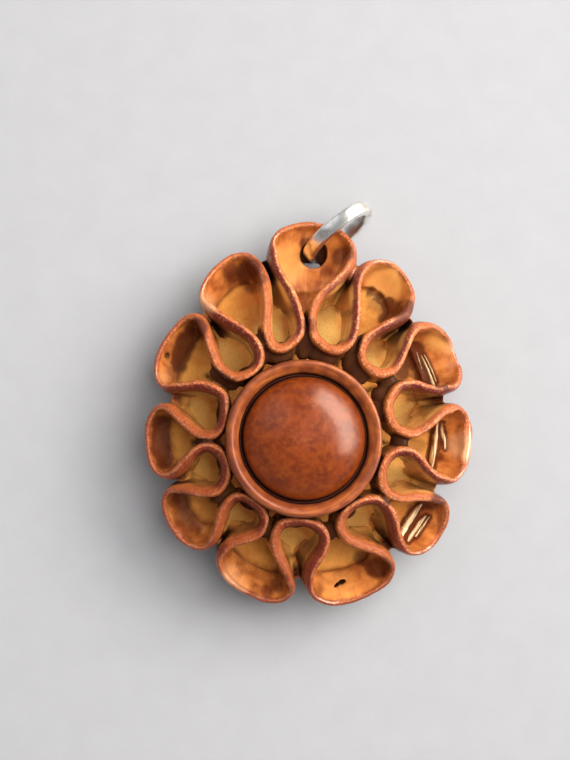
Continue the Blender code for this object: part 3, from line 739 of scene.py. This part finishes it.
def add_masks(stone, carved):
    """Store on the stone where its rims, hollow, medallion, crevices and stains are, and where
    light and shade are painted, and return the names of these masks."""
    places = read_mesh(stone.data, "co")
    normals = read_mesh(stone.data, "normal")
    off_wall, side, below, arc, facet, faces_window = nearest_wall(places)
    height = places[:, 2]
    radius = np.hypot(places[:, 0], places[:, 1])
    medallion = (np.arange(len(places)) >= carved).astype(float)
    carving = 1.0 - medallion
    wall_width = 1.0 - ARC_THINNING * arc
    rim = fade(0.42, 0.66, off_wall / wall_width)
    rim *= fade(0.12, 0.5, below) * carving
    offset = places[:, :2] - np.array(STONE_CENTRE)
    reach = np.hypot(*offset.T)
    bearing = np.arctan2(offset[:, 1], offset[:, 0]) % (2.0 * np.pi)
    steps = np.append(SHELL_ANGLES, 2.0 * np.pi)
    mouth, lip, fluted = (np.interp(bearing, steps, np.append(SHELL[key], SHELL[key][0]))
                          for key in ("mouth", "lip", "fluted"))
    facing_out = (offset * normals[:, :2]).sum(1) / np.maximum(reach, 0.01)
    outside = smooth_step(-0.1, 0.3, facing_out) * smooth_step(-1.0, -0.6, reach - fluted)
    underside = smooth_step(0.2, 0.5, -normals[:, 2]) * fade(3.2, 3.5, height)
    back = np.maximum(np.maximum(outside, underside), fade(1.0, 1.2, height))
    back *= 1.0 - rim
    floor = fade(-0.3, 0.15, reach - mouth) * (1.0 - back)
    floor *= fade(-0.05, 0.25, height - lip)
    # Painted shadow just under the hollow's lip.
    lip_shadow = np.exp(-((reach - mouth + 0.1) / 0.3) ** 2) * (1.0 - back) * (1.0 - rim)
    lip_shadow *= fade(0.3, 0.9, np.abs(height - lip))
    # The hollow's colour is left off in one throat, so the painted shade reaches down into it.
    floor *= 1.0 - paint(places, THROAT_PATCHES)
    loop_floor = smooth_step(0.5, 0.75, off_wall) * smooth_step(0.0, 0.3, side) * (1.0 - back)
    loop_floor *= smooth_step(0.15, 0.5, normals[:, 2]) * smooth_step(0.9, 1.5, below)
    loop_floor *= smooth_step(0.9, 1.7, fluted - reach)
    floor = np.maximum(floor, 0.85 * loop_floor * carving)
    loop_side = smooth_step(-0.05, 0.3, side) * (1.0 - floor) * carving * (1.0 - back)
    # Painted shade on the loops' sides that turn away from the window.
    away = fade(-0.35, 0.45, faces_window) * (1.0 - 0.6 * arc)
    # Painted shade in the crevices by the bridges and round the bead.
    by_bead = 0.85 * fade(6.6, 7.6, radius) * fade(-0.1, 0.2, side)
    crevice = np.maximum(near_bridges(places), by_bead) * smooth_step(0.3, 0.7, below)
    crevice *= smooth_step(5.2, 6.0, height) * carving
    # Painted light in patches, and over the loops' floors that the walls shade.
    painted_light = np.maximum(paint(places, PAINTED_LIGHT_PATCHES), 0.55 * loop_floor * carving)
    # Painted shade in the drilled hole and in the small pit.
    hole = fade(1.02, 1.16, np.hypot(*(places[:, :2] - np.array(HOLE_CENTRE)).T))
    hole = np.maximum(hole, paint(places, ((*PIT_PLACE[:2], 0.3, 0.9),)))
    masks = {
        "rim": rim, "loop_rim": rim * (1.0 - arc) * (1.0 - facet), "medallion": medallion,
        "back": back, "facet": rim * facet,
        # Painted shade, darker towards the lower left where less light falls.
        "painted_falloff": fade(-0.75, 0.3, offset @ np.array((0.04, 0.053))),
        "floor": floor, "loop_side": loop_side, "away": away,
        "seam": near_seams(places) * carving,
        "across": 0.5 + 0.5 * np.clip(side / (0.4 * wall_width), -1.0, 1.0),
        "shade": shade_of(stone, places, normals),
        # Painted shade in the crevices and painted shadow beside the keel's layers.
        "crevice": crevice, "keel": near_keel(places) * carving,
        "painted_light": painted_light, "lip_shadow": lip_shadow, "hole": hole * (1.0 - rim),
        # Pale patches of painted highlight, and darker stain with one patch of painted shade by the
        # hole.
        "stain_and_shade": paint(places, DARK_PATCHES), "glare": paint(places, GLARE_PATCHES),
        "dome": medallion * fade(4.5, 4.7, radius),
        # Painted shade in the groove round the dome.
        "groove": medallion * smooth_step(4.45, 4.7, radius) * fade(4.86, 5.0, radius),
    }
    for name, values in masks.items():
        layer = stone.data.attributes.new(name, "FLOAT", "POINT")
        layer.data.foreach_set("value", values.astype(np.float32))
    return list(masks)


def to_real_size(made):
    """Bring a piece modelled in millimetres to its real size, at the origin."""
    select_only(made)
    made.scale = (MM, MM, MM)
    bpy.ops.object.transform_apply(location=True, rotation=True, scale=True)


def node(tree, kind, **settings):
    """Add a shader node and set its properties or the values of its inputs."""
    made = tree.nodes.new("ShaderNode" + kind)
    for name, value in settings.items():
        if name in made.inputs:
            made.inputs[name].default_value = value
        else:
            setattr(made, name, value)
    return made


def link(*ends):
    """Link pairs of sockets: each output to the input after it."""
    for start, end in zip(ends[::2], ends[1::2]):
        start.id_data.links.new(start, end)


def colour(red, green, blue):
    """Return a display colour, 0 to 255 a channel, as the shader's linear colour."""
    linear = [((part / 255 + 0.055) / 1.055) ** 2.4 if part > 10 else part / 3294.6
              for part in (red, green, blue)]
    return (*linear, 1.0)


def feed(value, socket):
    """Give an input its value: an output to link, a number, a display colour or a linear one."""
    if isinstance(value, bpy.types.NodeSocket):
        link(value, socket)
    elif isinstance(value, tuple) and len(value) == 3:
        socket.default_value = colour(*value)
    else:
        socket.default_value = value


def mix_colour(first, second, amount):
    """Return the output of a mix from the first colour to the second by an amount."""
    made = node(amount.id_data, "Mix", data_type="RGBA")
    for value, number in ((amount, 0), (first, 6), (second, 7)):
        feed(value, made.inputs[number])
    return made.outputs[2]


def layered(base, *layers):
    """Return a colour with more laid over it one by one, each given with how much of it shows."""
    for tone, amount in zip(layers[::2], layers[1::2]):
        base = mix_colour(base, tone, amount)
    return base


def reckon(kind, first, second):
    """Return the output of a two-value sum of that kind, at least one value being an output."""
    output = first if isinstance(first, bpy.types.NodeSocket) else second
    made = node(output.id_data, "Math", operation=kind)
    feed(first, made.inputs[0])
    feed(second, made.inputs[1])
    return made.outputs[0]


def plus(first, second):
    """Return the sum of two values."""
    return reckon("ADD", first, second)


def less(first, second):
    """Return the first value less the second."""
    return reckon("SUBTRACT", first, second)


def times(first, second):
    """Return the product of two values."""
    return reckon("MULTIPLY", first, second)


def greatest(first, *others):
    """Return the greatest of some values."""
    for other in others:
        first = reckon("MAXIMUM", first, other)
    return first


def ramp(value, low, high, start=0.0, end=1.0):
    """Return a value eased from start to end as the input goes from low to high."""
    made = node(value.id_data, "MapRange", interpolation_type="SMOOTHSTEP")
    for name, number in (("Value", value), ("From Min", low), ("From Max", high),
                         ("To Min", start), ("To Max", end)):
        feed(number, made.inputs[name])
    return made.outputs["Result"]


def new_material(name):
    """Return a new material, its shader and the object's places in millimetres."""
    material = bpy.data.materials.new(name)
    material.use_nodes = True
    tree = material.node_tree
    places = node(tree, "TexCoord")
    scaled = node(tree, "Mapping", Scale=(1000.0, 1000.0, 1000.0))
    link(places.outputs["Object"], scaled.inputs["Vector"])
    return material, tree.nodes["Principled BSDF"], scaled.outputs["Vector"]


def add_bump(shader, height, strength, distance):
    """Let a height roughen the surface."""
    bump = node(shader.id_data, "Bump", Strength=strength, Distance=distance)
    link(height, bump.inputs["Height"], bump.outputs["Normal"], shader.inputs["Normal"])


def cloudy(places, scale, detail=3.0, roughness=0.55, distortion=0.0):
    """Return a soft random pattern with that many lumps a millimetre."""
    made = node(places.id_data, "TexNoise", Scale=scale, Detail=detail, Roughness=roughness,
                Distortion=distortion)
    link(places, made.inputs["Vector"])
    return made.outputs["Fac"]


def drawn_out(places, across):
    """Return streaks that change fast across them, by a vector, and slowly from place to place."""
    slow = node(places.id_data, "VectorMath", operation="SCALE", Scale=0.3)
    both = node(places.id_data, "VectorMath", operation="ADD")
    link(places, slow.inputs[0], across, both.inputs[0], slow.outputs[0], both.inputs[1])
    return cloudy(both.outputs[0], 1.0, 4.0, 0.6)


def run_down(places):
    """Return streaks that run from the petals' rims straight down to the stone's middle."""
    tree = places.id_data
    spread = node(tree, "Mapping", Location=(-STONE_CENTRE.x, -STONE_CENTRE.y, 0.0),
                  Scale=(1.0, 1.0, 0.0))
    bearing = node(tree, "VectorMath", operation="NORMALIZE")
    turned = node(tree, "VectorMath", operation="SCALE", Scale=14.0)
    link(places, spread.inputs["Vector"], spread.outputs["Vector"], bearing.inputs[0],
         bearing.outputs[0], turned.inputs[0])
    return drawn_out(places, turned.outputs[0])


def make_turned_lines():
    """Make the node group of streaks that run round the medallion's axis."""
    group = bpy.data.node_groups.new("turned lines", "ShaderNodeTree")
    for name, way, kind in (("Places", "INPUT", "Vector"), ("Lines a millimetre", "INPUT", "Float"),
                            ("Lines", "OUTPUT", "Float")):
        group.interface.new_socket(name=name, in_out=way, socket_type="NodeSocket" + kind)
    given = group.nodes.new("NodeGroupInput")
    places = given.outputs["Places"]
    flat = node(group, "Mapping", Scale=(1.0, 1.0, 0.0))
    radius = node(group, "VectorMath", operation="LENGTH")
    out = node(group, "CombineXYZ")
    link(places, flat.inputs["Vector"], flat.outputs["Vector"], radius.inputs[0],
         times(radius.outputs["Value"], given.outputs["Lines a millimetre"]), out.inputs["X"])
    link(drawn_out(places, out.outputs[0]), group.nodes.new("NodeGroupOutput").inputs["Lines"])


def turned_lines(places, count):
    """Return streaks round the medallion's axis, about that many a millimetre."""
    made = node(places.id_data, "Group", node_tree=bpy.data.node_groups["turned lines"])
    feed(places, made.inputs["Places"])
    feed(count, made.inputs["Lines a millimetre"])
    return made.outputs["Lines"]


def grey(value):
    """Return a shader's grey of that value."""
    return (value, value, value, 1.0)


def stone_material(mask_names):
    """Return the stained and polished stone, from its painted masks."""
    material, shader, places = new_material("stained apricot stone")
    tree = material.node_tree
    mask = {name: node(tree, "Attribute", attribute_name=name).outputs["Fac"]
            for name in mask_names}
    broad = cloudy(places, 0.5, 3.0)
    mottle = cloudy(places, 1.1, 2.0, 0.5, 0.2)
    soft = cloudy(places, 2.4, 4.0, 0.62)
    fine = cloudy(places, 5.0, 3.0, 0.6)
    streaks = run_down(places)
    cells = node(tree, "TexVoronoi", Scale=9.0)
    cell_value = node(tree, "SeparateColor")
    link(places, cells.inputs["Vector"], cells.outputs["Color"], cell_value.inputs[0])
    speck = ramp(cell_value.outputs[0], 0.6, 1.0)
    dark_cell = ramp(cell_value.outputs[1], 0.5, 1.0)

    # Slopes and walls: orange where the stain is thin, brown where it is deep or has run down; the
    # loops' sides darker, with painted shade where they turn away from the window, and painted
    # light in patches.
    looped = layered((182, 104, 54), (96, 38, 28), mask["away"],
                     (112, 54, 30), ramp(mottle, 0.35, 0.75, 0.0, 0.7))
    wall = layered((208, 126, 60), (160, 84, 40), ramp(mottle, 0.3, 0.75),
                   (138, 66, 30), ramp(streaks, 0.5, 0.72, 0.0, 0.6),
                   (238, 170, 90), ramp(streaks, 0.25, 0.45, 0.45, 0.0),
                   (196, 118, 50), ramp(fine, 0.5, 0.8, 0.0, 0.4),
                   looped, times(mask["loop_side"], 0.9),
                   (248, 180, 96), times(mask["painted_light"], 0.8))
    # Hollow: ochre and hardly stained, with painted light in patches.
    hollow = layered((242, 170, 80), (220, 136, 56), ramp(broad, 0.35, 0.7),
                     (224, 156, 72), ramp(mottle, 0.5, 0.75, 0.0, 0.6),
                     (255, 200, 108), mask["painted_light"],
                     (172, 102, 44), ramp(fine, 0.45, 0.8, 0.0, 0.35))
    # Rims: a paler ridge on the petal's side, partly a painted highlight along that edge, and a
    # band down to the loop that has painted shade, wine brown where it turns away from the window
    # and orange brown where it faces it; both darker towards the lower left, also painted shade.
    ridge = layered((180, 92, 42), (198, 114, 66), ramp(mask["across"], 0.08, 0.3),
                    (236, 160, 92), times(mask["painted_light"], 0.6),
                    (146, 74, 44), ramp(mottle, 0.4, 0.7, 0.0, 0.7),
                    (242, 190, 146), times(speck, 0.38))
    band = layered((174, 88, 42), (94, 31, 22), less(mask["away"], mask["facet"]),
                   (206, 132, 84), times(speck, 0.28))
    rim = layered(ridge, band, ramp(plus(mask["across"], times(fine, 0.24)), 0.44, 0.62),
                  (80, 32, 22), times(dark_cell, 0.45),
                  (102, 36, 18), times(mask["painted_falloff"], 0.5))
    # Natural back.
    back = layered((152, 84, 46), (106, 54, 32), ramp(mottle, 0.35, 0.68))
    # Medallion: an even polished brown dome in a more orange bead with turned lines; painted shade
    # in the groove between them and on the bead towards the lower left.
    rings = turned_lines(places, 3.5)
    bead = layered((170, 90, 42), (128, 62, 32), ramp(mottle, 0.3, 0.7),
                   (98, 42, 22), ramp(rings, 0.5, 0.68, 0.0, 0.75),
                   (214, 128, 62), ramp(rings, 0.28, 0.44, 0.6, 0.0),
                   (104, 42, 24), times(mask["painted_falloff"], 0.5))
    dome = layered((120, 46, 4), (92, 30, 3), ramp(mottle, 0.25, 0.75),
                   (146, 70, 14), ramp(soft, 0.35, 0.8, 0.0, 0.55))
    turned = layered(bead, dome, mask["dome"], (50, 18, 12), times(mask["groove"], 0.8))
    # Stain in patches and in runs, with painted shadow beside the keel's layers and painted shade
    # in the patch by the hole; then painted shade where the stone hides the sky, in the crevices,
    # the drilled hole and the pit, and dark seams where two walls touch.
    run = plus(times(mask["stain_and_shade"], 0.9), times(streaks, 0.35))
    stain_and_shade = ramp(greatest(run, mask["keel"]), 0.32, 0.95, 0.0, 0.86)
    hidden = plus(plus(mask["shade"], times(fine, 0.12)), times(mask["loop_side"], 0.08))
    free_of_shade = greatest(mask["floor"], times(mask["painted_light"], 0.75))
    seam = times(mask["seam"], ramp(fine, 0.2, 0.5, 0.6, 1.0))
    # Painted shade: darkest where the stone hides the sky, deep in the crevices, in the hole and
    # the pit; the seams are dark lines where walls touch.
    painted_shade_and_seams = greatest(times(ramp(hidden, 0.48, 0.86), less(1.0, free_of_shade)),
                    times(mask["crevice"], 0.92), times(mask["hole"], 0.95), times(seam, 0.9))
    # Painted shadow under the hollow's lip.
    lip = times(mask["lip_shadow"], ramp(mottle, 0.35, 0.65, 0.15, 0.7))
    # Pale patches of painted highlight are laid on near the end.
    base = layered(wall, hollow, mask["floor"], (112, 56, 28), lip, rim, mask["rim"],
                   back, mask["back"], turned, mask["medallion"], (78, 29, 19), stain_and_shade,
                   (226, 170, 122), times(mask["glare"], 0.55), (36, 16, 12), painted_shade_and_seams)
    feed(base, shader.inputs["Base Color"])

    # Polish: matt where shade and seams are painted and on the loops' rims, glossy on bare slopes
    # and on the worn facet.
    rough = layered(grey(0.26), grey(0.45), mask["loop_rim"], grey(0.5), mask["floor"],
                    grey(0.3), mask["medallion"], grey(0.8), painted_shade_and_seams, grey(0.16), mask["facet"])
    feed(rough, shader.inputs["Roughness"])
    matt = greatest(painted_shade_and_seams, times(mask["loop_rim"], 0.65))
    feed(less(0.4, times(matt, 0.34)), shader.inputs["Specular IOR Level"])
    dull = greatest(mask["loop_rim"], mask["floor"], painted_shade_and_seams, mask["back"], mask["medallion"],
                    times(stain_and_shade, 0.7))
    feed(greatest(less(0.55, times(dull, 0.5)), mask["facet"]), shader.inputs["Coat Weight"])
    feed(0.14, shader.inputs["Coat Roughness"])
    grain = times(cells.outputs["Distance"], mask["loop_rim"])
    add_bump(shader, plus(grain, times(fine, 0.2)), 0.5, 0.00008)
    return material


def keel_material():
    """Return the keel's bare layers, pale cream and polished."""
    material, shader, places = new_material("bare keel layers")
    streaks = turned_lines(places, 9.0)
    along = node(material.node_tree, "SeparateXYZ")
    link(places, along.inputs[0])
    tone = layered((255, 232, 180), (150, 92, 40), ramp(streaks, 0.42, 0.66),
                   (150, 112, 58), ramp(along.outputs["Y"], 2.5, 4.5, 0.0, 0.7))
    feed(tone, shader.inputs["Base Color"])
    feed(ramp(streaks, 0.4, 0.7, 0.2, 0.35), shader.inputs["Roughness"])
    feed(0.5, shader.inputs["Coat Weight"])
    feed(0.1, shader.inputs["Coat Roughness"])
    add_bump(shader, streaks, 0.4, 0.00005)
    return material


def bend_jump_ring():
    """Return the jump ring: a flat-sided wire bent round, leaning on its edge in the hole."""
    bearing, lean = math.radians(RING_BEARING), math.radians(RING_LEAN)
    out = Vector((math.cos(bearing), math.sin(bearing), 0.0))
    side = Vector((-math.sin(bearing), math.cos(bearing), 0.0))
    rise = Vector((0.0, 0.0, 1.0)) * math.cos(lean) + side * math.sin(lean)
    dip = (RING_CENTRE_Z - HOLE_MID_Z) / (RING_MEAN * math.cos(lean))
    centre = (Vector((*HOLE_CENTRE, HOLE_MID_Z)) + out * RING_MEAN * math.sqrt(1.0 - dip ** 2)
              + rise * RING_MEAN * dip)
    bpy.ops.mesh.primitive_circle_add(vertices=32, radius=1.0)
    ring = bpy.context.object
    ring.name = "silver_jump_ring"
    for vertex in ring.data.vertices:
        along, across = vertex.co.x, vertex.co.y
        vertex.co = (RING_MEAN + math.copysign(abs(along) ** 0.6, along) * RING_THICK / 2.0, 0.0,
                     math.copysign(abs(across) ** 0.6, across) * RING_WIDE / 2.0)
    close_mesh(ring, 0.001, spin_steps=200)
    ring.matrix_world = Matrix.Translation(centre) @ Matrix(
        (out, rise, out.cross(rise))).transposed().to_4x4()
    bpy.ops.object.transform_apply(location=True, rotation=True, scale=True)
    return ring


def silver_material():
    """Return polished silver with fine scratches and a little tarnish."""
    material, shader, places = new_material("polished silver")
    cloud = cloudy(places, 1.2, 4.0)
    tone = mix_colour((242, 241, 238), (190, 185, 174), ramp(cloud, 0.45, 0.7))
    feed(tone, shader.inputs["Base Color"])
    feed(1.0, shader.inputs["Metallic"])
    feed(ramp(cloud, 0.4, 0.7, 0.28, 0.42), shader.inputs["Roughness"])
    add_bump(shader, cloudy(places, 9.0, 2.0), 0.15, 0.00003)
    return material


def dress(made, material):
    """Give a piece its material and smooth shading."""
    made.data.materials.clear()
    made.data.materials.append(material)
    select_only(made)
    bpy.ops.object.shade_smooth()


def lay_floor():
    """Return the plain pale floor with the faint tooth of card."""
    bpy.ops.mesh.primitive_plane_add(size=3.0, location=(0.0, 0.0, 0.0))
    floor = bpy.context.object
    floor.name = "floor"
    material, shader, places = new_material("pale card")
    tone = mix_colour((162, 161, 162), (154, 153, 154), cloudy(places, 0.4, 5.0))
    feed(tone, shader.inputs["Base Color"])
    feed(0.85, shader.inputs["Roughness"])
    add_bump(shader, cloudy(places, 3.0, 4.0), 0.2, 0.00005)
    floor.data.materials.append(material)
    return floor


def hang_lights():
    """Add the soft square lights, each facing the pendant."""
    for name, place, size, power, tint, reflected, lights_up in LIGHTS:
        bpy.ops.object.light_add(type="AREA", location=place)
        light = bpy.context.object
        light.name = name
        light.data.shape = "RECTANGLE"
        light.data.size, light.data.size_y = size
        light.data.energy = power
        light.data.color = tint
        light.rotation_euler = Vector(place).to_track_quat("Z", "Y").to_euler()
        light.visible_glossy = reflected
        light.visible_diffuse = lights_up


def set_camera():
    """Stand the camera where the photo was taken from."""
    toward = Vector(CAMERA_SIDE).normalized()
    right = Vector((1.0, 0.0, 0.0))
    right = (right - toward * right.dot(toward)).normalized()
    bpy.ops.object.camera_add()
    camera = bpy.context.object
    camera.matrix_world = Matrix.Translation(Vector(CAMERA_PLACE) * MM) @ Matrix(
        (right, toward.cross(right), toward)).transposed().to_4x4()
    camera.data.sensor_fit = "VERTICAL"
    camera.data.sensor_height = 36.0
    camera.data.lens = CAMERA_LENS
    camera.data.clip_start = 0.005
    bpy.context.scene.camera = camera


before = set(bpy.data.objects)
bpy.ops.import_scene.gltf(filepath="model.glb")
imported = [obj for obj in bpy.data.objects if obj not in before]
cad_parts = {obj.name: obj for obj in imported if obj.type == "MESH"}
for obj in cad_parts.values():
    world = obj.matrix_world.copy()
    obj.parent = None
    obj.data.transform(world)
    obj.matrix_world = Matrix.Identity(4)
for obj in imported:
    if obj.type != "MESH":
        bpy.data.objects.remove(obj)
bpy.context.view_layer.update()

make_turned_lines()
stone, carved_points = carve_stone()
mask_names = add_masks(stone, carved_points)
to_real_size(stone)
dress(stone, stone_material(mask_names))
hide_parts("carved_pit")
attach(stone, "stone")

layers = lay_keel_layers()
to_real_size(layers)
dress(layers, keel_material())
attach(layers, "stone")

ring = bend_jump_ring()
to_real_size(ring)
dress(ring, silver_material())
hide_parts("jump_ring")
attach(ring, "ring")

lay_floor()
hang_lights()
world = bpy.data.worlds.new("studio")
bpy.context.scene.world = world
world.use_nodes = True
sky = world.node_tree.nodes["Background"]
sky.inputs["Color"].default_value = (0.95, 0.96, 1.0, 1.0)
sky.inputs["Strength"].default_value = 0.34
bpy.context.scene.view_settings.view_transform = "Standard"
set_camera()
